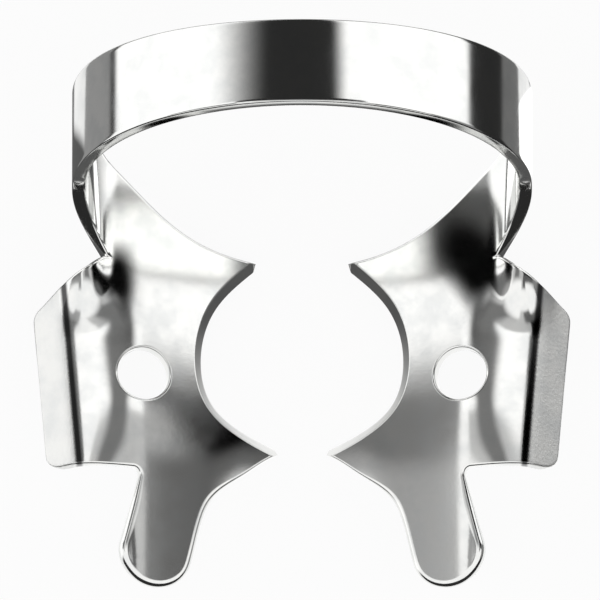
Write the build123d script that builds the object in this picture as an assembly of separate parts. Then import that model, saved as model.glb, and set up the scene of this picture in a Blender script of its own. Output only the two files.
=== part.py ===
from build123d import *
from math import atan2, ceil, cos, degrees, radians, sin, sqrt, tan
import os

# Sheet
thickness = 0.7
join_tolerance = 0.001
skin_pitch = 0.22
section_pitch = 0.5
sections_along_leg = 24

# Bow, measured over the outside of the arch
bow_width_over = 24.2
bow_strip = 4.6
bow_flare = 0.72
bow_lean = 5.5
bow_front_y = 8.54
bow_toe = 0.34
bow_toe_height = 1.3
bow_toe_slope = 0.55

# Curl that carries each leg of the bow under and into its jaw
curl_radius = 2.7
jaw_slope = 18.0
notch_angle = 30.0
notch_y = 5.4
neck_width = 5.3
neck_front_slope = 1.5
neck_back_slope = 0.85
jaw_back_slope = 0.1
jaw_back_shares = ((0.45, 0.226), (0.8, 0.69))

# Jaw plate, whose ridge runs inside the bow
ridge_in = 2.5
ridge_width = 3.0
neck_rise = 4.5
neck_fade = 3.0

# Wing, which reaches out past the bow, and its bent outer strip
wing_reach = 1.9
wing_slope = 6.0
wing_front_y = -5.8
wing_shoulder = 2.65
wing_taper = 0.75
wing_corner = 0.8
strip_angle = 38.0
strip_bend = 0.9
strip_width = 1.5

# Front lobes, which dip a little
lobe_x = 7.7
lobe_y = -10.12
lobe_radius = 1.87
lobe_outer_draft = 12.0
lobe_inner_draft = 17.0
lobe_inner_run = (-0.3, 1.0)
lobe_waist = ((-2.38, 1.78), (-2.85, 2.88))
lobe_root_x = 8.5
root_corner = 0.35
dip_start_y = -1.5
dip_length = 5.0
dip_angle = 10.0
dip_edge_out = 1.6
dip_fade = 3.0

# Prongs and the tooth recess between them
distal_prong_x = 2.5
distal_prong_tip = 0.35
mesial_prong_x = 1.35
mesial_prong_y = -4.15
mesial_prong_tip = 0.3
mesial_flank = (1.7, -1.45)
mesial_flank_run = (-1.0, 0.45)
mesial_dip_angle = 7.0
mesial_dip_out = 3.0
mesial_dip_back = 1.75
mesial_dip_length = 2.2
recess_x = 5.25
recess_y = 0.35
recess_front_shares = ((0.6, 0.176), (0.875, 0.442))
recess_back_share = (0.85, 0.564)
bevel_width = 0.5
bevel_lip = 0.12

# Forceps holes
hole_diameter = 2.8
hole_x = 8.4
hole_y = -0.8

# Values that follow from the sizes above
half = thickness / 2
ridge_x = bow_width_over / 2 - ridge_in
wing_x = bow_width_over / 2 + wing_reach
dip_edge_x = lobe_root_x + dip_edge_out
slope = radians(jaw_slope)
bow_radius = bow_width_over / 2 - half
curl_x = bow_radius - curl_radius
slope_end_x = curl_x + curl_radius * sin(slope)
slope_end_s = slope_end_x / cos(slope)
bow_z = tan(slope) * (slope_end_x - ridge_x) + curl_radius * cos(slope)
notch_s = slope_end_s + curl_radius * (radians(notch_angle) - slope)
notch_x = curl_x + (curl_radius + half) * sin(radians(notch_angle))
curl_end_s = slope_end_s + curl_radius * (radians(90) - slope)
prong_s = distal_prong_x / cos(slope)
neck_back_y = notch_y + neck_width
bow_back_y = bow_front_y + bow_strip + bow_flare
lean_line = Axis((0, bow_front_y + bow_strip / 2, bow_z), (1, 0, 0))


def jaw_back_edge():
    """Back edge of the flat blank along the jaw, from the distal prong to the neck."""
    tip_y = notch_y + distal_prong_tip
    length, rise = notch_s - prong_s, neck_back_y - tip_y
    middle = [(prong_s + u * length, tip_y + v * rise) for u, v in jaw_back_shares]
    return Spline((prong_s, tip_y), *middle, (notch_s, neck_back_y), tangents=[(1, jaw_back_slope), (1, neck_back_slope)])


def leg_edge(neck_y, bow_y, start_slope, end_slope):
    """Edge of the flat blank along the curl, from the neck to the widest part of the bow."""
    return Spline((notch_s, neck_y), (curl_end_s, bow_y), tangents=[(1, start_slope), (1, end_slope)])


def across(edge, s):
    """Place across the flat blank where its edge is s along the sheet."""
    low, high = 0.0, 1.0
    for _ in range(40):
        middle = (low + high) / 2
        if (edge @ middle).X < s:
            low = middle
        else:
            high = middle
    return (edge @ high).Y


def leg_section(s, front_y, back_y):
    """Section square to the sheet of the jaw slope and curl, s along it, turned back by its share of the lean."""
    turn = slope + max(0.0, s - slope_end_s) / curl_radius
    x = s * cos(slope)
    z = tan(slope) * (x - ridge_x)
    if s > slope_end_s:
        x, z = curl_x + curl_radius * sin(turn), bow_z - curl_radius * cos(turn)
    side_x, side_z = -half * sin(turn), half * cos(turn)
    under, over = (x - side_x, z - side_z), (x + side_x, z + side_z)
    corners = [(under, front_y), (under, back_y), (over, back_y), (over, front_y)]
    section = Wire.make_polygon([Vector(x, y, z) for (x, z), y in corners], close=True)
    return section.rotate(lean_line, -bow_lean * ease(s, notch_s, curl_end_s))


def leg_stretch(s_from, s_to, front, back):
    """Stretch of the formed sheet between two edges of the flat blank."""
    count = sections_along_leg
    places = [s_from + (s_to - s_from) * i / count for i in range(count + 1)]
    return Solid.make_loft([leg_section(s, front(s), back(s)) for s in places])


def jaw_back():
    """Jaw behind the notch, sloping up from the distal prong to the neck."""
    back = jaw_back_edge()
    return leg_stretch(prong_s, notch_s, lambda s: notch_y, lambda s: across(back, s))


def curl():
    """Neck that curls up from the jaw into the leg of the bow."""
    front = leg_edge(notch_y, bow_front_y - bow_toe, neck_front_slope, bow_toe_slope)
    back = leg_edge(neck_back_y, bow_back_y, neck_back_slope, 0)
    return leg_stretch(notch_s, curl_end_s, lambda s: across(front, s), lambda s: across(back, s))


def half_bow():
    """Half of the arch above its widest level, leaning back, its strip narrowest at the top."""
    outer, inner = bow_radius + half, bow_radius - half
    ring = Circle(outer) - Circle(inner)
    quarter = ring & Rectangle(outer, outer, align=Align.MIN)
    arch = extrude(Plane.XZ * Pos(0, bow_z, -bow_back_y) * quarter, amount=bow_back_y - bow_front_y + bow_toe)
    toe_low, toe_high = (bow_front_y - bow_toe, bow_z), (bow_front_y, bow_z + bow_toe_height)
    front = Spline(toe_low, toe_high, tangents=[(bow_toe_slope, 1), (0, 1)])
    back_low, back_high = (bow_back_y, bow_z), (bow_back_y - bow_flare, bow_z + outer)
    back = ThreePointArc(back_low, (bow_back_y - bow_flare / 4, bow_z + outer / 2), back_high)
    rest = Polyline(toe_high, (bow_front_y, bow_z + outer), back_high)
    side = Plane.YZ * make_face([front, back, *rest.edges(), Line(toe_low, back_low)])
    return (arch & extrude(side, amount=outer)).rotate(lean_line, -bow_lean)


def bend(x, centre, width, change):
    """Rise of a sheet whose slope changes by an amount over the width of a bend."""
    u = min(max((x - centre) / width + 0.5, 0.0), 1.0)
    return change * (width * u**3 * (1 - u / 2) + max(0.0, x - centre - width / 2))


def ease(value, start, end):
    """Smooth step from 0 at start to 1 at end."""
    u = min(max((value - start) / (end - start), 0.0), 1.0)
    return u**3 * (10 - 15 * u + 6 * u * u)


def prong_dip(x, y):
    """Fall of the sheet towards the tip of the mesial prong."""
    reach = sqrt(mesial_dip_out**2 + mesial_dip_back**2)
    out, back = x - mesial_prong_x, y - mesial_prong_y
    gone = reach - (out * mesial_dip_out + back * mesial_dip_back) / reach
    fall = bend(gone, mesial_dip_length / 2, mesial_dip_length, tan(radians(mesial_dip_angle)))
    return fall * (1 - ease(out, mesial_dip_out / 2, 1.5 * mesial_dip_out))


def wing_edge_x(y):
    """Outer edge of the wing, which tapers towards the front."""
    return wing_x - wing_taper * (wing_shoulder - y) / (wing_shoulder - wing_front_y)


def jaw_z(x, y):
    """Height of the middle of the sheet over the jaw plate, wing and lobe."""
    plane = tan(slope) * (x - ridge_x)
    wing = tan(radians(wing_slope))
    plate = plane + bend(x, ridge_x, ridge_width, -tan(slope) - wing)
    plate += bend(x, wing_edge_x(y) - strip_width, strip_bend, wing - tan(radians(strip_angle)))
    neck = plane
    if x > slope_end_x:
        reach = min(x, notch_x) - curl_x
        drop = sqrt(curl_radius**2 - reach**2)
        neck = bow_z - drop + max(0.0, x - notch_x) * reach / drop
    rise = ease(y, notch_y - neck_rise, notch_y) * (1 - ease(x, notch_x, notch_x + neck_fade))
    dip = bend(-y, dip_length / 2 - dip_start_y, dip_length, tan(radians(dip_angle)))
    dip *= 1 - ease(x, dip_edge_x - dip_fade / 2, dip_edge_x + dip_fade / 2)
    return plate + (neck - plate) * rise - dip - prong_dip(x, y)


def jaw_normal(x, y):
    """Direction square to the sheet at a place on the jaw plate."""
    step = 0.01
    along_x = (jaw_z(x + step, y) - jaw_z(x - step, y)) / (2 * step)
    along_y = (jaw_z(x, y + step) - jaw_z(x, y - step)) / (2 * step)
    return Vector(-along_x, -along_y, 1).normalized()


def recess_edge():
    """Edge of the tooth recess, from the mesial prong to the distal prong."""
    front = recess_y - mesial_prong_y
    middle = [(out * recess_x, mesial_prong_y + along * front) for out, along in recess_front_shares]
    out, along = recess_back_share
    middle += [(recess_x, recess_y), (out * recess_x, recess_y + along * (notch_y - recess_y))]
    return Spline((mesial_prong_x, mesial_prong_y), *middle, (distal_prong_x, notch_y))


def plate_outline():
    """Plan outline of the jaw, wing and lobe in front of the notch."""
    lobe = Vector(lobe_x, lobe_y)
    lobe_out = lobe + Vector(lobe_radius, 0).rotate(Axis.Z, lobe_outer_draft)
    lobe_tip = lobe - Vector(0, lobe_radius)
    lobe_in = lobe - Vector(lobe_radius, 0).rotate(Axis.Z, lobe_inner_draft)
    waist = [lobe + Vector(*place) for place in lobe_waist]
    flank = (mesial_prong_x + mesial_flank[0], mesial_prong_y + mesial_flank[1])
    root = (lobe_root_x, wing_front_y)
    shoulder = (wing_x, wing_shoulder)
    corner = (wing_edge_x(wing_front_y), wing_front_y)
    prong = (mesial_prong_x, mesial_prong_y - mesial_prong_tip)
    sides = Polyline((distal_prong_x, notch_y), (notch_x, notch_y), shoulder, corner, root, lobe_out)
    end = ThreePointArc(lobe_out, lobe_tip, lobe_in)
    inner = Spline(lobe_in, *waist, flank, prong, tangents=[lobe_inner_run, mesial_flank_run])
    tip = Line(prong, (mesial_prong_x, mesial_prong_y))
    face = make_face([*sides.edges(), end, inner, tip, recess_edge()])
    face = fillet([face.vertices().sort_by_distance(place)[0] for place in (shoulder, corner)], wing_corner)
    concave = face.vertices().sort_by_distance(root)[0]
    return fillet(concave, root_corner)


def plate_section(y):
    """Closed section across the plate, its two skins square to the sheet."""
    x_from, x_to = mesial_prong_x - thickness, wing_x + thickness
    count = ceil((x_to - x_from) / skin_pitch)
    under, over = [], []
    for i in range(count + 1):
        x = x_from + (x_to - x_from) * i / count
        square = jaw_normal(x, y)
        side = Vector(square.X, 0, square.Z) * (half / (square.X**2 + square.Z**2))
        under.append(Vector(x, y, jaw_z(x, y)) - side)
        over.append(Vector(x, y, jaw_z(x, y)) + side)
    even = [i / count for i in range(count + 1)]
    skins = [Edge.make_spline(points, parameters=even) for points in (under, over)]
    ends = [Edge.make_line(under[k], over[k]) for k in (0, -1)]
    return Wire([skins[0], ends[1], skins[1], ends[0]])


def jaw_plate():
    """Jaw, wing and lobe in front of the notch, formed in one skin and cut to outline."""
    y_from, y_to = lobe_y - lobe_radius - thickness, notch_y
    count = ceil((y_to - y_from) / section_pitch)
    places = [y_from + (y_to - y_from) * j / count for j in range(count + 1)]
    sheet = Solid.make_loft([plate_section(y) for y in places])
    return sheet & extrude(Pos(0, 0, -bow_width_over) * plate_outline(), amount=2 * bow_width_over, dir=(0, 0, 1))


def recess_bevel():
    """Stone that grinds the upper side of the tooth recess to a bevel."""
    edge = recess_edge()
    row_count, column_count = 30, 6
    reach = 2 * bevel_width + bevel_lip
    grid = []
    for i in range(-1, row_count + 2):
        u = min(max(i / row_count, 0.0), 1.0)
        along = edge % u
        place = edge @ u + along * (i - u * row_count)
        away = along.rotate(Axis.Z, -90)
        line = []
        for j in range(column_count + 1):
            out = reach * (2 * j / column_count - 1)
            point = place + away * out
            lift = bevel_lip + out * (thickness - bevel_lip) / bevel_width
            line.append(Vector(point.X, point.Y, jaw_z(point.X, point.Y) - half + lift))
        grid.append(line)
    face = Face.make_surface_from_array_of_points(grid, tol=1e-3)
    return Solid.thicken(face, 2 * thickness, normal_override=(0, 0, 1))


def forceps_hole():
    """Round hole punched square through the jaw."""
    place = Plane(origin=(hole_x, hole_y, jaw_z(hole_x, hole_y)), z_dir=jaw_normal(hole_x, hole_y))
    return place * Cylinder(hole_diameter / 2, 4 * thickness)


def underside_z(x, y):
    """Height of the lower skin of the sheet at a place on the jaw plate."""
    return jaw_z(x, y) - half / jaw_normal(x, y).Z


def settle_angle():
    """Tilt of the line under the prongs, on whose four tips the clamp stands."""
    front, back = mesial_prong_y - mesial_prong_tip, notch_y
    rise = underside_z(distal_prong_x, back) - underside_z(mesial_prong_x, front)
    return degrees(atan2(rise, back - front))


def half_clamp():
    """One jaw with its wing, lobe and leg, and half of the bow."""
    sheet = jaw_plate().fuse(jaw_back(), curl(), half_bow().solid(), tol=join_tolerance)
    return sheet - forceps_hole() - recess_bevel()


def clamp():
    """Whole clamp, standing on its four prong tips about the middle of its plan."""
    side = half_clamp()
    whole = Rot(-settle_angle(), 0, 0) * side.fuse(mirror(side, about=Plane.YZ), tol=join_tolerance)
    box = whole.bounding_box()
    return Pos(0, -box.center().Y, -box.min.Z) * whole


os.makedirs("parts", exist_ok=True)
export_step(clamp(), "parts/clamp.step")
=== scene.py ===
import math

import bmesh
import bpy
import numpy as np
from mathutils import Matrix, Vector, geometry


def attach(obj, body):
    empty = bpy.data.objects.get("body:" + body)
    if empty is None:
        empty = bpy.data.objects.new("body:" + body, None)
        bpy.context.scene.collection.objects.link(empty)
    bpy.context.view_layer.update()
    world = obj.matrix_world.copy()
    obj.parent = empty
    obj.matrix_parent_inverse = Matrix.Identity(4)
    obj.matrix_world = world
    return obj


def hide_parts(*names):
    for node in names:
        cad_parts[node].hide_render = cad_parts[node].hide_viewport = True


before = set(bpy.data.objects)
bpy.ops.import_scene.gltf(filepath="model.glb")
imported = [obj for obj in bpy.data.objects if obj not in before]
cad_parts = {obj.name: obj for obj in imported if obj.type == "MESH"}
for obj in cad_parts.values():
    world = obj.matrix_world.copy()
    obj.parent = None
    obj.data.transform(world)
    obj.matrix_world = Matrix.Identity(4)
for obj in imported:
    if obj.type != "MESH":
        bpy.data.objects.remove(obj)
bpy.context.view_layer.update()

bl_info = {
    "name": "Rubber dam clamp",
    "version": (1, 0, 0),
    "blender": (4, 5, 0),
    "location": "3D View > Sidebar > Clamp",
    "description": "Forms a winged rubber dam clamp from sheet steel and sets it on a pale table",
    "category": "Add Mesh",
}

MM = 0.001

# Sizes of the formed sheet in millimetres, the same as those of the solid
HALF = 0.35
BOW_OUT = 12.1
BOW_STRIP, BOW_FLARE = 4.6, 0.72
BOW_LEAN = math.radians(5.5)
BOW_FRONT, TOE, TOE_HEIGHT, TOE_SLOPE = 8.54, 0.34, 1.3, 0.55
CURL_RADIUS = 2.7
SLOPE = math.radians(18.0)
NOTCH_ANGLE = math.radians(30.0)
NOTCH_Y = 5.4
NECK_WIDTH, NECK_FRONT_SLOPE, NECK_BACK_SLOPE = 5.3, 1.5, 0.85
NECK_RISE, NECK_FADE = 4.5, 3.0
JAW_BACK_SLOPE, JAW_BACK_SHARES = 0.1, ((0.45, 0.226), (0.8, 0.69))
RIDGE_X, RIDGE_WIDTH = 9.6, 3.0
WING_X, WING_SLOPE = 14.0, math.radians(6.0)
WING_FRONT, WING_SHOULDER, WING_TAPER, WING_CORNER = -5.8, 2.65, 0.75, 0.8
STRIP_ANGLE, STRIP_BEND, STRIP_WIDTH = math.radians(38.0), 0.9, 1.5
LOBE, LOBE_RADIUS, LOBE_ROOT, ROOT_CORNER = (7.7, -10.12), 1.87, 8.5, 0.35
LOBE_OUTER_DRAFT, LOBE_INNER_DRAFT = math.radians(12.0), math.radians(17.0)
LOBE_INNER_RUN, LOBE_WAIST = (-0.3, 1.0), ((-2.38, 1.78), (-2.85, 2.88))
DIP_START, DIP_LENGTH, DIP_ANGLE, DIP_EDGE, DIP_FADE = -1.5, 5.0, math.radians(10.0), 10.1, 3.0
DISTAL_X, DISTAL_TIP = 2.5, 0.35
MESIAL_X, MESIAL_Y, MESIAL_TIP = 1.35, -4.15, 0.3
MESIAL_FLANK, MESIAL_FLANK_RUN = (1.7, -1.45), (-1.0, 0.45)
MESIAL_DIP, MESIAL_RUN, MESIAL_LENGTH = math.radians(7.0), (3.0, 1.75), 2.2
RECESS_X, RECESS_Y = 5.25, 0.35
RECESS_FRONT_SHARES, RECESS_BACK_SHARE = ((0.6, 0.176), (0.875, 0.442)), (0.85, 0.564)
BEVEL_WIDTH, BEVEL_LIP = 0.5, 0.12
HOLE_X, HOLE_Y, HOLE_RADIUS = 8.4, -0.8, 1.4

# The clamp stands on its four prong tips, so the formed sheet is tilted and moved to there
SETTLE = math.radians(4.811822)
SHIFT = (0.0, -1.65203, 3.11849)

# Edges that tumbling has rounded: how far down the lobes their rims have grown to full size
RIM_FULL_Y, RIM_FINE_Y = -8.0, -5.0
LIP_RADIUS, LEAST_WALL = 0.04, 0.04

# Fineness of the mesh, in millimetres and in steps; rings are in radii of the edge they follow
OUTLINE_PITCH, CURVE_PITCH, SLOPE_STEP = 0.1, 0.05, 0.005
CORNER_STEPS, LOBE_STEPS, HOLE_STEPS, ACROSS_STEPS, CURL_STEPS, BOW_STEPS = 7, 44, 72, 34, 36, 68
EDGE_ANGLES, RINGS_BEYOND = (67.5, 45.0, 22.5, 0.0), (1.4, 1.9)
BEVEL_RINGS = (LIP_RADIUS, 0.16, 0.3, 0.46, BEVEL_WIDTH, 0.54, 0.64)
GRID_MARGIN, GRID_BELOW_LOBE = 0.5, 2.5

# How near a point of a ring or of the grid may come to an edge; a ring keeps this share of its gap
RING_SHARE, RIM_CLEAR, RECESS_CLEAR, JOINT_CLEAR = 0.97, 0.004, 0.02, 0.05

# What counts as one place, as one point of the mesh, as on the rim and as a face without area
SAME, WELD, ON_RIM, SLIVER = 1e-6, 2e-4, 1e-4, 1e-6

# Middle of the view, in millimetres along it from the middle of the clamp
AIM_UP, AIM_ASIDE = 3.05, -0.105

# Values that follow from the sizes above
BOW_RADIUS = BOW_OUT - HALF
CURL_X = BOW_RADIUS - CURL_RADIUS
SLOPE_END_X = CURL_X + CURL_RADIUS * math.sin(SLOPE)
SLOPE_END_S = SLOPE_END_X / math.cos(SLOPE)
BOW_Z = math.tan(SLOPE) * (SLOPE_END_X - RIDGE_X) + CURL_RADIUS * math.cos(SLOPE)
NOTCH_S = SLOPE_END_S + CURL_RADIUS * (NOTCH_ANGLE - SLOPE)
NOTCH_X = CURL_X + (CURL_RADIUS + HALF) * math.sin(NOTCH_ANGLE)
CURL_END_S = SLOPE_END_S + CURL_RADIUS * (math.pi / 2 - SLOPE)
NOTCH_MID_X = CURL_X + CURL_RADIUS * math.sin(NOTCH_ANGLE)
NECK_BACK = NOTCH_Y + NECK_WIDTH
LEAN_Y = BOW_FRONT + BOW_STRIP / 2


# Form of the sheet

def bend(x, centre, width, change):
    """Rise of a sheet whose slope changes by an amount over the width of a bend."""
    u = np.clip((x - centre) / width + 0.5, 0, 1)
    return change * (width * u**3 * (1 - u / 2) + np.maximum(0, x - centre - width / 2))


def ease(value, start, end):
    """Smooth step from 0 at start to 1 at end."""
    u = np.clip((value - start) / (end - start), 0, 1)
    return u**3 * (10 - 15 * u + 6 * u * u)


def prong_dip(x, y):
    """Fall of the sheet towards the tip of the mesial prong."""
    out, back = x - MESIAL_X, y - MESIAL_Y
    reach = math.hypot(*MESIAL_RUN)
    gone = reach - (out * MESIAL_RUN[0] + back * MESIAL_RUN[1]) / reach
    fall = bend(gone, MESIAL_LENGTH / 2, MESIAL_LENGTH, math.tan(MESIAL_DIP))
    return fall * (1 - ease(out, MESIAL_RUN[0] / 2, 1.5 * MESIAL_RUN[0]))


def wing_edge(y):
    """Distance out to the wing's outer edge, which tapers in towards the front."""
    return WING_X - WING_TAPER * (WING_SHOULDER - y) / (WING_SHOULDER - WING_FRONT)


def jaw_z(x, y):
    """Height of the middle of the sheet over the jaw, wing and lobe."""
    plane = math.tan(SLOPE) * (x - RIDGE_X)
    wing = math.tan(WING_SLOPE)
    plate = plane + bend(x, RIDGE_X, RIDGE_WIDTH, -math.tan(SLOPE) - wing)
    plate = plate + bend(x, wing_edge(y) - STRIP_WIDTH, STRIP_BEND, wing - math.tan(STRIP_ANGLE))
    reach = np.clip(x, SLOPE_END_X, NOTCH_X) - CURL_X
    drop = np.sqrt(CURL_RADIUS**2 - reach**2)
    curled = BOW_Z - drop + np.maximum(0, x - NOTCH_X) * reach / drop
    neck = np.where(x > SLOPE_END_X, curled, plane)
    rise = ease(y, NOTCH_Y - NECK_RISE, NOTCH_Y) * (1 - ease(x, NOTCH_X, NOTCH_X + NECK_FADE))
    dip = bend(-y, DIP_LENGTH / 2 - DIP_START, DIP_LENGTH, math.tan(DIP_ANGLE))
    dip = dip * (1 - ease(x, DIP_EDGE - DIP_FADE / 2, DIP_EDGE + DIP_FADE / 2))
    return plate + (neck - plate) * rise - dip - prong_dip(x, y)


def jaw_skin(place, height):
    """Points a height above the middle of the sheet, square to it, from their places on the plan."""
    x, y = place[:, 0], place[:, 1]
    along_x = (jaw_z(x + SLOPE_STEP, y) - jaw_z(x - SLOPE_STEP, y)) / (2 * SLOPE_STEP)
    along_y = (jaw_z(x, y + SLOPE_STEP) - jaw_z(x, y - SLOPE_STEP)) / (2 * SLOPE_STEP)
    square = np.stack([-along_x, -along_y, np.ones_like(x)], axis=1)
    square /= np.linalg.norm(square, axis=1)[:, None]
    return np.stack([x, y, jaw_z(x, y)], axis=1) + square * np.asarray(height)[:, None]


def leg_skin(s, across, height):
    """Points a height above the middle of the curl and bow, from their places on the flat blank."""
    bow = s > CURL_END_S
    turn_bow = math.pi / 2 + (s - CURL_END_S) / BOW_RADIUS
    turn_curl = SLOPE + (s - SLOPE_END_S) / CURL_RADIUS
    turn = np.where(bow, turn_bow, turn_curl)
    radius = np.where(bow, BOW_RADIUS, CURL_RADIUS) - height
    x = np.where(bow, 0, CURL_X) + radius * np.sin(turn)
    z = -radius * np.cos(turn)
    lean = BOW_LEAN * ease(s, NOTCH_S, CURL_END_S)
    y = LEAN_Y + (across - LEAN_Y) * np.cos(lean) + z * np.sin(lean)
    return np.stack([x, y, BOW_Z - (across - LEAN_Y) * np.sin(lean) + z * np.cos(lean)], axis=1)


# Outline of the flat blank

def smooth_line(points, spacing, start=None, end=None):
    """Curve of continuous bend through points, as a close row of points."""
    p = np.array(points, float)
    chord = np.linalg.norm(np.diff(p, axis=0), axis=1)
    count = len(p)
    matrix, right = np.zeros((count, count)), np.zeros((count, 2))
    for i in range(1, count - 1):
        a, b = chord[i - 1], chord[i]
        matrix[i, i - 1:i + 2] = 1 / a, 2 / a + 2 / b, 1 / b
        right[i] = 3 * ((p[i] - p[i - 1]) / a**2 + (p[i + 1] - p[i]) / b**2)
    for row, near, tangent in ((0, 1, start), (count - 1, count - 2, end)):
        if tangent is None:
            matrix[row, row], matrix[row, near] = 2, 1
            right[row] = 3 * (p[max(row, near)] - p[min(row, near)]) / chord[min(row, near)]
        else:
            matrix[row, row] = 1
            right[row] = np.array(tangent) / np.linalg.norm(tangent)
    slope = np.linalg.solve(matrix, right)
    rows = []
    for i in range(count - 1):
        steps = max(2, int(round(chord[i] / spacing)))
        t = np.linspace(0, 1, steps, endpoint=False)[:, None]
        rows.append((2 * t**3 - 3 * t**2 + 1) * p[i] + (3 * t**2 - 2 * t**3) * p[i + 1]
                    + chord[i] * ((t**3 - 2 * t**2 + t) * slope[i] + (t**3 - t**2) * slope[i + 1]))
    return np.concatenate(rows + [p[-1:]])


def straight(start, end, spacing):
    """Even row of points from one place to another."""
    start, end = np.array(start, float), np.array(end, float)
    steps = max(1, int(math.ceil(np.linalg.norm(end - start) / spacing)))
    return start + (end - start) * np.linspace(0, 1, steps + 1)[:, None]


def rounded(before, corner, after, radius):
    """Arc that rounds a corner between two straight edges."""
    corner = np.array(corner, float)
    a = np.array(before, float) - corner
    b = np.array(after, float) - corner
    a, b = a / np.linalg.norm(a), b / np.linalg.norm(b)
    half_angle = math.acos(float(a @ b)) / 2
    centre = corner + (a + b) / np.linalg.norm(a + b) * radius / math.sin(half_angle)
    first = corner + a * radius / math.tan(half_angle) - centre
    last = corner + b * radius / math.tan(half_angle) - centre
    start, sweep = math.atan2(first[1], first[0]), math.atan2(last[1], last[0])
    sweep = (sweep - start + math.pi) % (2 * math.pi) - math.pi
    angles = start + sweep * np.linspace(0, 1, CORNER_STEPS + 1)
    return centre + radius * np.stack([np.cos(angles), np.sin(angles)], axis=1)


def blank_x(s):
    """Place on the plan of a place along the flat blank, up to the notch."""
    turned = CURL_X + CURL_RADIUS * np.sin(SLOPE + (s - SLOPE_END_S) / CURL_RADIUS)
    return np.where(s > SLOPE_END_S, turned, s * math.cos(SLOPE))


def back_edge():
    """Back edge of the jaw on the plan, from the distal prong to the neck."""
    start, tip = DISTAL_X / math.cos(SLOPE), NOTCH_Y + DISTAL_TIP
    length, rise = NOTCH_S - start, NECK_BACK - tip
    middle = [(start + along * length, tip + up * rise) for along, up in JAW_BACK_SHARES]
    points = [(start, tip), *middle, (NOTCH_S, NECK_BACK)]
    line = smooth_line(points, OUTLINE_PITCH, (1, JAW_BACK_SLOPE), (1, NECK_BACK_SLOPE))
    return np.stack([blank_x(line[:, 0]), line[:, 1]], axis=1)


def recess_edge():
    """Edge of the tooth recess, from the mesial prong to the distal prong."""
    front, back = RECESS_Y - MESIAL_Y, NOTCH_Y - RECESS_Y
    middle = [(out * RECESS_X, MESIAL_Y + along * front) for out, along in RECESS_FRONT_SHARES]
    out, along = RECESS_BACK_SHARE
    middle += [(RECESS_X, RECESS_Y), (out * RECESS_X, RECESS_Y + along * back)]
    return smooth_line([(MESIAL_X, MESIAL_Y), *middle, (DISTAL_X, NOTCH_Y)], OUTLINE_PITCH)


def lobe_edge():
    """Round tip of the lobe, and the edge that runs on from it to the mesial prong."""
    x, y = LOBE
    angles = np.linspace(LOBE_OUTER_DRAFT, LOBE_INNER_DRAFT - math.pi, LOBE_STEPS)
    tip = np.stack([x + LOBE_RADIUS * np.cos(angles), y + LOBE_RADIUS * np.sin(angles)], axis=1)
    prong = (MESIAL_X, MESIAL_Y - MESIAL_TIP)
    waist = [(x + across, y + along) for across, along in LOBE_WAIST]
    flank = (MESIAL_X + MESIAL_FLANK[0], MESIAL_Y + MESIAL_FLANK[1])
    inner = [tip[-1], *waist, flank, prong]
    return tip, smooth_line(inner, OUTLINE_PITCH, LOBE_INNER_RUN, MESIAL_FLANK_RUN)


# Mesh of the formed sheet

def distance(points, line):
    """Shortest distance on the plan of each point from a line."""
    best = np.full(len(points), np.inf)
    for a, b in zip(line[:-1], line[1:]):
        run = b - a
        t = np.clip(((points - a) @ run) / max(run @ run, 1e-12), 0, 1)
        best = np.minimum(best, np.linalg.norm(points - a - t[:, None] * run, axis=1))
    return best


def inside(points, loop):
    """Which points lie inside a closed loop."""
    hit = np.zeros(len(points), bool)
    for a, b in zip(loop, np.roll(loop, -1, axis=0)):
        if a[1] != b[1]:
            cross = a[0] + (points[:, 1] - a[1]) * (b[0] - a[0]) / (b[1] - a[1])
            hit ^= ((a[1] > points[:, 1]) != (b[1] > points[:, 1])) & (points[:, 0] < cross)
    return hit


def rounding(gap, radius):
    """How far a rounded edge falls away at a gap in from the rim."""
    gap = np.where(gap < ON_RIM, 0, gap)
    return radius - np.sqrt(radius**2 - np.clip(radius - gap, 0, radius)**2)


def ring_gaps(radius):
    """Gaps in from a rim at which its rounded edge gets a row of points."""
    return radius * (1 - np.sin(np.radians(EDGE_ANGLES)))


def rim_radius(y, fine, full):
    """Radius of the free rim, which is fine round the wings and grows along the lobes."""
    return full + (fine - full) * ease(y, RIM_FULL_Y, RIM_FINE_Y)


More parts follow.
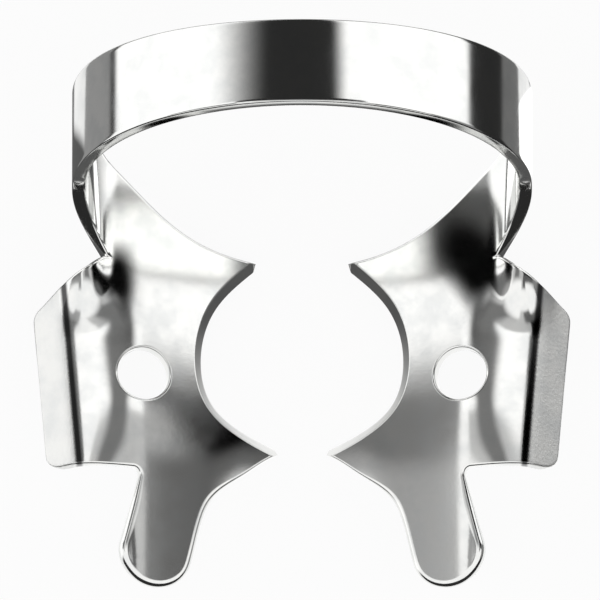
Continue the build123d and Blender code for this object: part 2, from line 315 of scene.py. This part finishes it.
class Blank:
    """Plan of one jaw with its wing and lobe: outline, hole and the points between them."""

    def __init__(self, edge_radius, fine_radius):
        self.edge_radius, self.fine_radius = edge_radius, fine_radius
        tip, inner = lobe_edge()
        notch, shoulder = (NOTCH_X, NOTCH_Y), (WING_X, WING_SHOULDER)
        corner, root = (wing_edge(WING_FRONT), WING_FRONT), (LOBE_ROOT, WING_FRONT)
        joint = (NOTCH_MID_X, NOTCH_Y)
        arcs = [rounded(notch, shoulder, corner, WING_CORNER),
                rounded(shoulder, corner, root, WING_CORNER),
                rounded(corner, root, tip[0], ROOT_CORNER)]
        ends = [np.array([joint]), np.array([notch]), *arcs, tip, inner]
        front = ends[0]
        for part in ends[1:]:
            if np.linalg.norm(part[0] - front[-1]) > SAME:
                front = np.concatenate([front, straight(front[-1], part[0], OUTLINE_PITCH)[1:]])
            front = np.concatenate([front, part[1:]])
        blunt = straight((DISTAL_X, NOTCH_Y), (DISTAL_X, NOTCH_Y + DISTAL_TIP), OUTLINE_PITCH)
        back = np.concatenate([blunt, back_edge()[1:]])
        mesial = straight((MESIAL_X, MESIAL_Y - MESIAL_TIP), (MESIAL_X, MESIAL_Y), OUTLINE_PITCH)
        self.free = [back, np.concatenate([front, mesial[1:]])]
        self.recess = recess_edge()
        insets = np.concatenate([[0], ring_gaps(fine_radius)])
        near, far = NOTCH_Y + insets, NECK_BACK - 1.5 * insets[::-1]
        middle = np.linspace(near[-1], far[0], ACROSS_STEPS)[1:-1]
        self.across = np.concatenate([near, middle, far])
        self.joint = np.stack([np.full(len(self.across), NOTCH_MID_X), self.across], axis=1)
        loop = [back, self.joint[::-1], self.free[1], self.recess]
        self.outline = np.concatenate([part[:-1] for part in loop])
        turn = np.linspace(0, 2 * math.pi, HOLE_STEPS, endpoint=False)
        self.hole = np.stack([HOLE_X + HOLE_RADIUS * math.cos(SLOPE) * np.cos(turn),
                              HOLE_Y + HOLE_RADIUS * np.sin(turn)], axis=1)
        self.hole_line = np.concatenate([self.hole, self.hole[:1]])

    def gaps(self, points):
        """Gap of each point from the free edges, the tooth recess and the hole."""
        free = np.minimum(distance(points, self.free[0]), distance(points, self.free[1]))
        return free, distance(points, self.recess), distance(points, self.hole_line)

    def heights(self, points):
        """Upper and lower skin above the middle of the sheet."""
        free, recess, hole = self.gaps(points)
        rim = rim_radius(points[:, 1], self.fine_radius, self.edge_radius)
        soft = rounding(free, rim) + rounding(hole, self.fine_radius)
        grind = (2 * HALF - BEVEL_LIP) / BEVEL_WIDTH
        bevel = -HALF + BEVEL_LIP + recess * grind - rounding(recess, LIP_RADIUS)
        upper = np.minimum(HALF - soft, bevel)
        lower = -HALF + soft + rounding(recess, LIP_RADIUS)
        return upper, np.minimum(lower, upper - LEAST_WALL)

    def points(self, pitch):
        """Outline first, then the hole, rings along the edges and a grid between."""
        found = []
        ring = [*ring_gaps(1.0), *RINGS_BEYOND]
        lines = [(self.recess, BEVEL_RINGS), (self.hole_line, [gap * self.fine_radius for gap in ring])]
        for line in reversed(self.free):
            rim = rim_radius(line[:, 1], self.fine_radius, self.edge_radius)[:, None]
            lines.insert(0, (line, [gap * rim for gap in ring]))
        for line, offsets in lines:
            run = np.gradient(line, axis=0)
            side = np.stack([run[:, 1], -run[:, 0]], axis=1) / np.linalg.norm(run, axis=1)[:, None]
            for gap in offsets:
                ring_points = line + side * gap
                found.append(ring_points[distance(ring_points, line) > RING_SHARE * np.ravel(gap)])
        rings = np.concatenate(found)
        free, recess, _ = self.gaps(rings)
        joint = distance(rings, self.joint)
        rings = rings[(free > RIM_CLEAR) & (recess > RECESS_CLEAR) & (joint > JOINT_CLEAR)]
        across = np.arange(GRID_MARGIN, WING_X + GRID_MARGIN, pitch)
        x, y = np.meshgrid(across, np.arange(LOBE[1] - GRID_BELOW_LOBE, NECK_BACK, pitch))
        stagger = 0.5 * pitch * (np.indices(x.shape)[0] % 2)
        grid = np.stack([(x + stagger).ravel(), y.ravel()], axis=1)
        free, recess, hole = self.gaps(grid)
        rim = rim_radius(grid[:, 1], self.fine_radius, self.edge_radius)
        clear = (free > ring[-1] * rim + 0.5 * pitch) & (recess > BEVEL_RINGS[-1] + 0.5 * pitch)
        clear &= hole > ring[-1] * self.fine_radius + 0.5 * pitch
        clear &= distance(grid, self.joint) > 0.5 * pitch
        every = np.concatenate([self.outline, self.hole, rings, grid[clear]])
        fixed = len(self.outline) + len(self.hole)
        keep = inside(every, self.outline) & ~inside(every, self.hole)
        keep[:fixed] = True
        return every[keep]


def jaw_mesh(blank, pitch):
    """Points and faces of one jaw, wing and lobe, closed but for the joint with the leg."""
    places = blank.points(pitch)
    outer, hole = len(blank.outline), len(blank.hole)
    loops = [(i, (i + 1) % outer) for i in range(outer)]
    loops += [(outer + i, outer + (i + 1) % hole) for i in range(hole)]
    found = geometry.delaunay_2d_cdt([Vector(p) for p in places], loops, [], 0, SAME)
    plan = np.array([tuple(v) for v in found[0]])
    faces = np.array([f for f in found[2] if len(f) == 3])
    centres = plan[faces].mean(axis=1)
    faces = faces[inside(centres, blank.outline) & ~inside(centres, blank.hole)]
    side, other = plan[faces[:, 1]] - plan[faces[:, 0]], plan[faces[:, 2]] - plan[faces[:, 0]]
    faces = faces[np.abs(side[:, 0] * other[:, 1] - side[:, 1] * other[:, 0]) > SLIVER]
    index = {source: i for i, sources in enumerate(found[3]) for source in sources}
    upper, lower = blank.heights(plan)
    points = np.concatenate([jaw_skin(plan, upper), jaw_skin(plan, lower)])
    count = len(plan)
    polygons = [tuple(f) for f in faces] + [tuple(count + f[::-1]) for f in faces]
    start = len(blank.free[0]) - 1
    joined = set(range(start, start + len(blank.joint) - 1))
    for i, (a, b) in enumerate(loops):
        if i not in joined:
            a, b = index[a], index[b]
            polygons.append((a, b, count + b, count + a))
    return points, polygons


def leg_mesh(blank):
    """Points and faces of the curl and half of the bow."""
    start, toe = (NOTCH_S, NOTCH_Y), (CURL_END_S, BOW_FRONT - TOE)
    front = smooth_line([start, toe], CURVE_PITCH, (1, NECK_FRONT_SLOPE), (1, TOE_SLOPE))
    toe_end = (CURL_END_S + TOE_HEIGHT, BOW_FRONT)
    toe_line = smooth_line([toe, toe_end], CURVE_PITCH, (1, TOE_SLOPE), (1, 0))
    front = np.concatenate([front, toe_line[1:]])
    back_end = (CURL_END_S, BOW_FRONT + BOW_STRIP + BOW_FLARE)
    back = smooth_line([(NOTCH_S, NECK_BACK), back_end], CURVE_PITCH, (1, NECK_BACK_SLOPE), (1, 0))
    bow_end = CURL_END_S + BOW_RADIUS * math.pi / 2
    rows = np.concatenate([np.linspace(NOTCH_S, toe_end[0], CURL_STEPS + 1),
                           np.linspace(toe_end[0], bow_end, BOW_STEPS + 1)[1:]])
    low, high = (np.interp(rows, line[:, 0], line[:, 1]) for line in (front, back))
    height = BOW_RADIUS * np.sin(np.maximum(0, rows - CURL_END_S) / BOW_RADIUS)
    high = high - BOW_FLARE * (height / BOW_OUT)**2
    slant = [np.sqrt(1 + np.gradient(edge, rows)**2) for edge in (low, high)]
    upper, lower = blank.heights(blank.joint)
    skins = [[jaw_skin(blank.joint, upper)], [jaw_skin(blank.joint, lower)]]
    gap = np.concatenate([[0], ring_gaps(blank.fine_radius)])
    middle = len(blank.across) - 2 * len(gap)
    fall = rounding(gap, blank.fine_radius)
    soft = np.concatenate([fall, np.zeros(middle), fall[::-1]])
    for i, s in enumerate(rows[1:], 1):
        near, far = low[i] + gap * slant[0][i], high[i] - gap[::-1] * slant[1][i]
        across = np.concatenate([near, np.linspace(near[-1], far[0], middle + 2)[1:-1], far])
        for skin, height in zip(skins, (HALF - soft, soft - HALF)):
            skin.append(leg_skin(np.full(len(across), s), across, height))
    width, length = len(blank.across), len(rows)
    points = np.concatenate([np.concatenate(skins[0]), np.concatenate(skins[1])])
    count = width * length
    polygons = []
    for i in range(length - 1):
        for j in range(width - 1):
            a = i * width + j
            face = (a, a + width, a + width + 1, a + 1)
            polygons += [face, (count + a, *(count + k for k in reversed(face[1:])))]
        for a in (i * width, (i + 1) * width - 1):
            polygons.append((a, count + a, count + a + width, a + width))
    return points, polygons


def clamp_mesh(name, pitch, edge_radius, fine_radius):
    """Whole clamp as one closed mesh, standing on its prong tips."""
    blank = Blank(edge_radius, fine_radius)
    points, polygons = jaw_mesh(blank, pitch)
    leg_points, leg_polygons = leg_mesh(blank)
    polygons = polygons + [tuple(len(points) + i for i in face) for face in leg_polygons]
    points = np.concatenate([points, leg_points])
    count = len(points)
    polygons += [tuple(count + i for i in reversed(face)) for face in polygons]
    points = np.concatenate([points, points * (-1, 1, 1)])
    x, y, z = points.T
    y, z = y * math.cos(SETTLE) + z * math.sin(SETTLE), z * math.cos(SETTLE) - y * math.sin(SETTLE)
    points = (np.stack([x, y, z], axis=1) + SHIFT) * MM
    mesh = bpy.data.meshes.new(name)
    mesh.from_pydata(points.tolist(), [], [tuple(int(i) for i in face) for face in polygons])
    return mesh


# Materials; along x, y and z their numbers are millimetres, and levels of light are shares of plain white

SMOOTH = {"interpolation_type": "SMOOTHSTEP"}
WHITE = "#ffffff"

# Waves, clouds and grains in a metre of steel: about 3 mm, 1.4 mm and 0.2 mm each. The grit of a ground
# strip is ten times finer than this grain, which is drawn as coarse as it needs to show.
WAVES, CLOUDS, GRAINS = 330.0, 700.0, 5200.0
GRAIN_HEIGHT, STRIP_GRAIN_HEIGHT = 0.0004 * MM, 0.012 * MM
# Painted shade: the dark grey that the base colour turns along the crease of each wing strip
CREASE_SHADE_COLOUR = "#4c4c4c"


def colour(code):
    """Linear colour of a written sRGB one."""
    parts = [int(code[i:i + 2], 16) / 255 for i in (1, 3, 5)]
    return tuple(c / 12.92 if c <= 0.04045 else ((c + 0.055) / 1.055)**2.4 for c in parts) + (1.0,)


def add(tree, kind, inputs=(), **settings):
    """Adds a node. Its inputs, in order or by name, are numbers, colours, sockets or other nodes."""
    made = tree.nodes.new("ShaderNode" + kind)
    for name, value in settings.items():
        setattr(made, name, value)
    for place, value in inputs.items() if isinstance(inputs, dict) else enumerate(inputs):
        if isinstance(value, bpy.types.Node):
            value = value.outputs[0]
        if isinstance(value, bpy.types.NodeSocket):
            tree.links.new(value, made.inputs[place])
        else:
            made.inputs[place].default_value = value
    return made


def brightest(tree, first, *others):
    """The highest of several values, as at a place that more than one light reaches."""
    highest = first
    for other in others:
        highest = add(tree, "Math", [highest, other], operation="MAXIMUM")
    return highest


def new_material(name):
    """Empty material with its node tree."""
    made = bpy.data.materials.new(name)
    made.use_nodes = True
    made.node_tree.nodes.clear()
    return made, made.node_tree


def millimetres(tree, place):
    """A place on the piece as millimetres along x, y and z."""
    scaled = add(tree, "VectorMath", {0: place, "Scale": 1 / MM}, operation="SCALE")
    return add(tree, "SeparateXYZ", [scaled]).outputs


def steel_material(settings):
    """Stainless spring steel, tumbled and polished, with its outer wing strips left as ground.

    It gives the eye a near mirror whose reflections swim a little, a matt grey strip and painted shade
    along the crease."""
    made, tree = new_material("polished_spring_steel")
    place = add(tree, "TexCoord").outputs["Object"]
    x, y, z = millimetres(tree, place)
    taper = WING_TAPER / (WING_SHOULDER - WING_FRONT)
    drawn_in = add(tree, "Math", [y, taper], operation="MULTIPLY")
    out = add(tree, "Math", [x], operation="ABSOLUTE")
    edge = add(tree, "Math", [out, drawn_in], operation="SUBTRACT")
    line = WING_X - taper * (WING_SHOULDER + SHIFT[1]) - STRIP_WIDTH

    # The ground strip, and the painted shade along the crease beside it, on the wings but not on the bow
    # above them
    wing = add(tree, "MapRange", [z, 5.5, 5.0], **SMOOTH)
    strip = add(tree, "MapRange", [edge, line - 0.05, line + 0.35, 0.0, wing], **SMOOTH)
    crease_shade = add(tree, "MapRange", [edge, line + 0.2, line + 0.02, 0.0, wing], **SMOOTH)
    crease_shade = add(tree, "MapRange", [edge, line - 0.3, line - 0.12, 0.0, crease_shade], **SMOOTH)

    wave = add(tree, "TexNoise", {"Vector": place, "Scale": WAVES, "Detail": 1.5, "Roughness": 0.4})
    cloud = add(tree, "TexNoise", {"Vector": place, "Scale": CLOUDS, "Detail": 4.0, "Roughness": 0.55})
    grain = add(tree, "TexNoise", {"Vector": place, "Scale": GRAINS, "Detail": 3.0, "Roughness": 0.6})
    polish = add(tree, "MapRange", [cloud, 0.3, 0.75, settings.polish, settings.polish + 0.03], **SMOOTH)
    rough = add(tree, "Mix", {"Factor": strip, "A": polish, "B": settings.strip_roughness})
    coarse = add(tree, "Math", [strip, STRIP_GRAIN_HEIGHT, GRAIN_HEIGHT], operation="MULTIPLY_ADD")
    rise = add(tree, "Math", [grain, coarse], operation="MULTIPLY")
    rise = add(tree, "Math", [wave, settings.wave_height, rise], operation="MULTIPLY_ADD")
    bump = add(tree, "Bump", {"Height": rise, "Strength": 1.0, "Distance": 1.0})

    cloudy = add(tree, "MapRange", [cloud, 0.35, 0.7], **SMOOTH)
    bright, dull = (*settings.steel_colour, 1.0), (*settings.cloud_colour, 1.0)
    tint = add(tree, "Mix", {"Factor": cloudy, 6: bright, 7: dull}, data_type="RGBA").outputs[2]
    # Painted shade: along the crease the base colour turns towards dark grey
    crease_shaded_tint = add(tree, "Mix", {"Factor": crease_shade, 6: tint, 7: colour(CREASE_SHADE_COLOUR)}, data_type="RGBA")
    looks = {"Base Color": crease_shaded_tint.outputs[2], "Roughness": rough, "Normal": bump, "Metallic": 1.0}
    add(tree, "OutputMaterial", [add(tree, "BsdfPrincipled", looks)])
    return made


def table_material(settings):
    """Matt white board, lit from above.

    The camera sees it plain white. In polished metal it shows a painted reflection, a glow that only
    reflections see: dark between the jaws and bright around them."""
    made, tree = new_material("white_table")
    x, y, _ = millimetres(tree, add(tree, "TexCoord").outputs["Object"])
    out = add(tree, "Math", [x], operation="ABSOLUTE")

    # Painted reflection: how bright the glow that reflections see is at the front, under the lobes, at the
    # back and beside the bow
    front = add(tree, "MapRange", [y, -6, 1, 1.2, 0.12], **SMOOTH)
    under = add(tree, "MapRange", [y, -0.8, -1.4, 0.0, 1.2], **SMOOTH)
    under = add(tree, "MapRange", [out, 6, 6.8, 0.0, under], **SMOOTH)
    fade = add(tree, "MapRange", [y, 13.9, 13.2, 0.24, 2.4], **SMOOTH)
    back = add(tree, "MapRange", [y, 7.7, 9.7, 0.0, fade], **SMOOTH)
    side = add(tree, "MapRange", [x, -4.6, -1.2, 0.02, 1.0], **SMOOTH)
    back = add(tree, "Math", [back, side], operation="MULTIPLY")
    beside = add(tree, "MapRange", [y, 10.5, 12, 0.0, 1.1], **SMOOTH)
    beside = add(tree, "MapRange", [out, 13, 14, 0.0, beside], **SMOOTH)
    painted_reflection = brightest(tree, front, under, back, beside)

    path = add(tree, "LightPath").outputs
    # Reflections see the painted glow; the camera sees mostly plain white, and other rays see a matt board
    light = add(tree, "Mix", {"Factor": path["Is Glossy Ray"], "A": 1.0, "B": painted_reflection})
    seen = add(tree, "Math", [path["Is Camera Ray"], settings.table_glow], operation="MULTIPLY")
    seen = brightest(tree, seen, path["Is Glossy Ray"])
    glow = add(tree, "Emission", [colour(WHITE), light])
    matt = add(tree, "BsdfDiffuse", [(*settings.table_colour, 1.0)])
    add(tree, "OutputMaterial", [add(tree, "MixShader", [seen, matt, glow])])
    return made


def floor_material():
    """White board under the table sheet, so that the eye sees no end to the floor."""
    made, tree = new_material("white_card")
    add(tree, "OutputMaterial", [add(tree, "Emission", [colour(WHITE), FLOOR_GLOW])])
    return made


def card_material():
    """Overhead light card of frosted acrylic.

    It has two white soft boxes with a dark gap between them for the lens. It is dimmer in front."""
    made, tree = new_material("light_card")
    x, y, _ = millimetres(tree, add(tree, "TexCoord").outputs["Object"])
    out = add(tree, "Math", [x], operation="ABSOLUTE")
    on_right = add(tree, "Math", [x, 0.0], operation="GREATER_THAN")

    # The dark gap, which widens towards the back, and the soft boxes outside it
    limit = add(tree, "Mix", {"Factor": on_right, "A": 30.0, "B": 25.2})
    edge = add(tree, "MapRange", [y, 18, 24, 9, 26.6])
    edge = add(tree, "Math", [edge, limit], operation="MINIMUM")
    edge = brightest(tree, edge, add(tree, "MapRange", [y, 10.5, 17, 3, 16]))
    past = add(tree, "Math", [out, edge], operation="SUBTRACT")
    past = add(tree, "Math", [past, add(tree, "MapRange", [y, 21.5, 24, 4, 1.2])], operation="DIVIDE")
    near = add(tree, "MapRange", [past, -1, 1], **SMOOTH)
    far_left = add(tree, "MapRange", [out, 12, 46], **SMOOTH)
    far_right = add(tree, "MapRange", [out, 11, 19], **SMOOTH)
    far = add(tree, "Mix", {"Factor": on_right, "A": far_left, "B": far_right})
    boxes = add(tree, "MapRange", [y, 28, 31, near, far], **SMOOTH)
    gap = add(tree, "MapRange", [y, 16.5, 20, 0.24, 0.03], **SMOOTH)

    # Dim light in front of the boxes, over the lobes and the tooth recess
    inner = add(tree, "MapRange", [x, 27, 27.7, 0.6, 0.0], **SMOOTH)
    inner = add(tree, "MapRange", [y, 14.5, 16, inner, 0.06], **SMOOTH)
    low_right = add(tree, "MapRange", [x, 25.5, 23, inner, 0.24], **SMOOTH)
    low_right = add(tree, "MapRange", [y, 2, -5, low_right, 0.14], **SMOOTH)
    low_left = add(tree, "MapRange", [y, 0, -8, 0.22, 0.45], **SMOOTH)
    low = add(tree, "MapRange", [x, -2, 2, low_left, low_right], **SMOOTH)
    wing = add(tree, "MapRange", [y, 10, 12.5, 0.35, 1.0], **SMOOTH)
    wing = add(tree, "MapRange", [out, 25, 23, 0.0, wing], **SMOOTH)
    white = brightest(tree, wing, add(tree, "MapRange", [y, 18.2, 20.5], **SMOOTH))
    bright = add(tree, "Mix", {"Factor": white, "A": low, "B": 1.5})
    light = add(tree, "Mix", {"Factor": boxes, "A": gap, "B": bright})

    # White patches in front, which the wings and the rims of the lobes see
    middle = add(tree, "MapRange", [y, 2, -12, 0.0, 1.3], **SMOOTH)
    middle = add(tree, "MapRange", [out, 21.5, 18, 0.0, middle], **SMOOTH)
    outer = add(tree, "MapRange", [y, -7, -13, 0.0, 1.3], **SMOOTH)
    outer = add(tree, "MapRange", [out, 32, 37, 0.0, outer], **SMOOTH)
    strip = add(tree, "MapRange", [x, -2, 2, 1.3, 0.7], **SMOOTH)
    strip = add(tree, "MapRange", [y, 16, 13, 0.0, strip], **SMOOTH)
    strip = add(tree, "MapRange", [out, 14, 18, 0.0, strip], **SMOOTH)
    strip = add(tree, "MapRange", [out, 24.8, 23.4, 0.0, strip], **SMOOTH)
    whole = add(tree, "MapRange", [y, -14, -18, 0.0, 1.3], **SMOOTH)
    light = brightest(tree, light, middle, outer, strip, whole)
    add(tree, "OutputMaterial", [add(tree, "Emission", [colour(WHITE), light])])
    return made


def shade_spot_material():
    """Clear sheet that only reflections see, with a soft black spot over each neck: painted shade, whose
    reflection darkens the neck.
    """
    made, tree = new_material("painted_shade_sheet")
    place = add(tree, "TexCoord").outputs["Object"]
    spots = []
    for centre, radii, turn in SHADE_SPOTS:
        setting = {"Vector": place, "Location": (centre[0] * MM, centre[1] * MM, 0.0),
                   "Rotation": (0.0, 0.0, turn), "Scale": (radii[0] * MM, radii[1] * MM, 1.0)}
        spot = add(tree, "Mapping", setting, vector_type="TEXTURE")
        reach = add(tree, "VectorMath", [spot, spot], operation="DOT_PRODUCT").outputs["Value"]
        spots.append(add(tree, "MapRange", [reach, 1.4, 0.2], **SMOOTH))
    clear = add(tree, "BsdfTransparent")
    black = add(tree, "Emission", {"Strength": 0.0})
    add(tree, "OutputMaterial", [add(tree, "MixShader", [brightest(tree, *spots), clear, black])])
    return made


# Stage, in millimetres; the world's soft boxes are angles round the clamp in degrees, with a level each

TABLE_ACROSS, TABLE_ALONG = (-18, 18), (-18, 60)
FLOOR_REACH, FLOOR_HEIGHT, FLOOR_GLOW = (-300, 300), -0.02, 0.97
CARD_ACROSS, CARD_ALONG, CARD_HEIGHT = (-90, 90), (-60, 120), 50
# Sheet over the jaws with soft black spots, seen only in reflections: painted shade on the necks
SHADE_SHEET_ACROSS, SHADE_SHEET_ALONG, SHADE_SHEET_HEIGHT = (-10, 10), (0, 9), 7
SHADE_SPOTS = (((-7.3, 4.1), (1.4, 2.5), math.radians(-28)), ((6.1, 5.2), (1.8, 4.0), math.radians(40)))
LEFT_BOX, RIGHT_BOX = ((-113, -110, -60, -50), 1.5), ((50, 60, 95, 99), 1.5)
LOW_LEFT_BOX, LOW_RIGHT_BOX = ((-250, -240, -118, -114), 0.35), ((121, 126, 240, 250), 0.2)
RIGHT_BOX_DIM, ROOM_LIGHT = 0.3, 0.03

# Shares of the way to the back over which the soft boxes begin, and over which the right one brightens
BOX_BEGINS, RIGHT_BOX_BRIGHTENS = (-0.45, -0.2), (0.26, 0.32)


def studio_world():
    """Soft boxes at the left and right in a dark room, behind a white surround that the camera sees."""
    world = bpy.data.worlds.new("studio")
    world.use_nodes = True
    tree = world.node_tree
    tree.nodes.clear()
    dx, dy, dz = add(tree, "SeparateXYZ", [add(tree, "TexCoord").outputs["Generated"]]).outputs
    around = add(tree, "Math", [dx, dz], operation="ARCTAN2")
    around = add(tree, "Math", [around], operation="DEGREES")
    room = []
    for box in (LEFT_BOX, RIGHT_BOX, LOW_LEFT_BOX, LOW_RIGHT_BOX):
        (outer, full, last, end), level = box
        if box is RIGHT_BOX:
            level = add(tree, "MapRange", [dy, *RIGHT_BOX_BRIGHTENS, RIGHT_BOX_DIM, level], **SMOOTH)
        shape = add(tree, "MapRange", [dy, *BOX_BEGINS, 0.0, level], **SMOOTH)
        shape = add(tree, "MapRange", [around, last, end, shape, 0.0], **SMOOTH)
        room.append(add(tree, "MapRange", [around, outer, full, 0.0, shape], **SMOOTH))
    studio = add(tree, "Background", [colour(WHITE), brightest(tree, *room, ROOM_LIGHT)])
    plain = add(tree, "Background", [colour(WHITE), 1.0])
    path = add(tree, "LightPath").outputs
    add(tree, "OutputWorld", [add(tree, "MixShader", [path["Is Camera Ray"], studio, plain])])
    return world


def stage_sheet(name, across, along, height, material):
    """Flat level sheet of the stage, measured in millimetres."""
    corners = [(across[i] * MM, along[j] * MM, height * MM) for i, j in ((0, 0), (1, 0), (1, 1), (0, 1))]
    mesh = bpy.data.meshes.new(name)
    mesh.from_pydata(corners, [], [(0, 1, 2, 3)])
    mesh.materials.append(material)
    made = bpy.data.objects.new(name, mesh)
    bpy.context.scene.collection.objects.link(made)
    return made


# Add-on

class ClampSettings(bpy.types.PropertyGroup):
    """Edges, finish and view of the clamp."""

    mesh_pitch: bpy.props.FloatProperty(
        name="Mesh pitch", description="Distance between points of the mesh on the jaws",
        default=0.15 * MM, min=0.08 * MM, unit="LENGTH")
    lobe_edge: bpy.props.FloatProperty(
        name="Lobe edge", description="Radius of the tumbled rims of the front lobes",
        default=0.28 * MM, min=0.02 * MM, max=0.3 * MM, unit="LENGTH")
    fine_edge: bpy.props.FloatProperty(
        name="Fine edge", description="Radius of the tumbled edges of the bow, wings, jaws and holes",
        default=0.1 * MM, min=0.02 * MM, max=0.3 * MM, unit="LENGTH")
    steel_colour: bpy.props.FloatVectorProperty(
        name="Steel colour", description="Colour of the polished steel",
        default=colour("#dcdcda")[:3], min=0.0, max=1.0, subtype="COLOR")
    cloud_colour: bpy.props.FloatVectorProperty(
        name="Cloud colour", description="Colour of the faint clouds in the polish",
        default=colour("#d2d3d2")[:3], min=0.0, max=1.0, subtype="COLOR")
    polish: bpy.props.FloatProperty(
        name="Polish", description="Roughness of the polished steel where it is clearest",
        default=0.09, min=0.0, max=0.9, subtype="FACTOR")
    strip_roughness: bpy.props.FloatProperty(
        name="Strip roughness", description="Roughness of the ground outer strips of the wings",
        default=0.42, min=0.0, max=1.0, subtype="FACTOR")
    wave_height: bpy.props.FloatProperty(
        name="Wave height", description="Height of the soft waves that tumbling leaves",
        default=0.003 * MM, min=0.0, max=0.05 * MM, precision=6, unit="LENGTH")
    table_colour: bpy.props.FloatVectorProperty(
        name="Table colour", description="Colour of the table where the clamp's shadow falls",
        default=colour("#e9e9e9")[:3], min=0.0, max=1.0, subtype="COLOR")
    table_glow: bpy.props.FloatProperty(
        name="Table glow", description="Share of the table's look that is plain white rather than lit",
        default=0.93, min=0.0, max=1.0, subtype="FACTOR")
    camera_height: bpy.props.FloatProperty(
        name="Camera height", description="Angle of the camera above the table",
        default=math.radians(74.0) + SETTLE, subtype="ANGLE")
    camera_distance: bpy.props.FloatProperty(
        name="Camera distance", description="Distance from the camera to the middle of the view",
        default=1.5, min=0.1, unit="LENGTH")
    view_width: bpy.props.FloatProperty(
        name="View width", description="Width of the view at the clamp",
        default=0.6 / 19, min=0.01, unit="LENGTH")


class FormClamp(bpy.types.Operator):
    """Form the clamp from its blank and put it in place of the plain solid"""

    bl_idname = "clamp.form"
    bl_label = "Form clamp"

    def execute(self, context):
        settings = context.scene.clamp_settings
        sizes = (settings.mesh_pitch / MM, settings.lobe_edge / MM, settings.fine_edge / MM)
        mesh = clamp_mesh("clamp_sheet", *sizes)
        joined = bmesh.new()
        joined.from_mesh(mesh)
        bmesh.ops.remove_doubles(joined, verts=joined.verts, dist=WELD * MM)
        bmesh.ops.recalc_face_normals(joined, faces=joined.faces)
        joined.to_mesh(mesh)
        open_edges = sum(not edge.is_manifold for edge in joined.edges)
        joined.free()
        if open_edges:
            raise RuntimeError(f"The formed sheet is not closed: {open_edges} open edges")
        mesh.shade_smooth()
        mesh.materials.append(steel_material(settings))
        clamp = bpy.data.objects.new("clamp_sheet", mesh)
        context.scene.collection.objects.link(clamp)
        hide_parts("clamp")
        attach(clamp, "root")
        return {"FINISHED"}


class SetStage(bpy.types.Operator):
    """Add the white table, the studio light and the camera"""

    bl_idname = "clamp.stage"
    bl_label = "Set stage"

    def execute(self, context):
        settings = context.scene.clamp_settings
        stage_sheet("table", TABLE_ACROSS, TABLE_ALONG, 0, table_material(settings))
        floor = stage_sheet("floor", FLOOR_REACH, FLOOR_REACH, FLOOR_HEIGHT, floor_material())
        card = stage_sheet("light_card", CARD_ACROSS, CARD_ALONG, CARD_HEIGHT, card_material())
        # The sheet with black spots is painted shade, which only reflections see
        shade_sheet = stage_sheet("painted_shade_sheet", SHADE_SHEET_ACROSS, SHADE_SHEET_ALONG, SHADE_SHEET_HEIGHT, shade_spot_material())
        floor.visible_glossy = floor.visible_diffuse = False
        shade_sheet.visible_diffuse = shade_sheet.visible_shadow = False
        card.visible_camera = shade_sheet.visible_camera = False
        context.scene.world = studio_world()
        context.scene.view_settings.view_transform = "Standard"

        lens = bpy.data.cameras.new("camera")
        lens.lens = lens.sensor_width * settings.camera_distance / settings.view_width
        lens.clip_start = 0.01
        camera = bpy.data.objects.new("camera", lens)
        height = settings.camera_height
        away = Vector((0, -math.cos(height), math.sin(height)))
        up = Vector((0, math.sin(height), math.cos(height)))
        aim = (Vector(SHIFT) + up * AIM_UP + Vector((AIM_ASIDE, 0, 0))) * MM
        camera.location = aim + away * settings.camera_distance
        camera.rotation_euler = (math.pi / 2 - height, 0, 0)
        context.scene.collection.objects.link(camera)
        context.scene.camera = camera
        return {"FINISHED"}


class ClampPanel(bpy.types.Panel):
    """Sidebar panel of the clamp"""

    bl_idname = "VIEW3D_PT_clamp"
    bl_label = "Rubber dam clamp"
    bl_space_type = "VIEW_3D"
    bl_region_type = "UI"
    bl_category = "Clamp"

    def draw(self, context):
        layout, settings = self.layout, context.scene.clamp_settings
        for name in ("mesh_pitch", "lobe_edge", "fine_edge", "steel_colour", "cloud_colour", "polish",
                     "strip_roughness", "wave_height"):
            layout.prop(settings, name)
        layout.operator(FormClamp.bl_idname)
        for name in ("table_colour", "table_glow", "camera_height", "camera_distance", "view_width"):
            layout.prop(settings, name)
        layout.operator(SetStage.bl_idname)


CLASSES = (ClampSettings, FormClamp, SetStage, ClampPanel)


def register():
    for item in CLASSES:
        bpy.utils.register_class(item)
    bpy.types.Scene.clamp_settings = bpy.props.PointerProperty(type=ClampSettings)


def unregister():
    del bpy.types.Scene.clamp_settings
    for item in reversed(CLASSES):
        bpy.utils.unregister_class(item)


def main():
    register()
    bpy.ops.clamp.form()
    bpy.ops.clamp.stage()


if __name__ == "__main__":
    main()
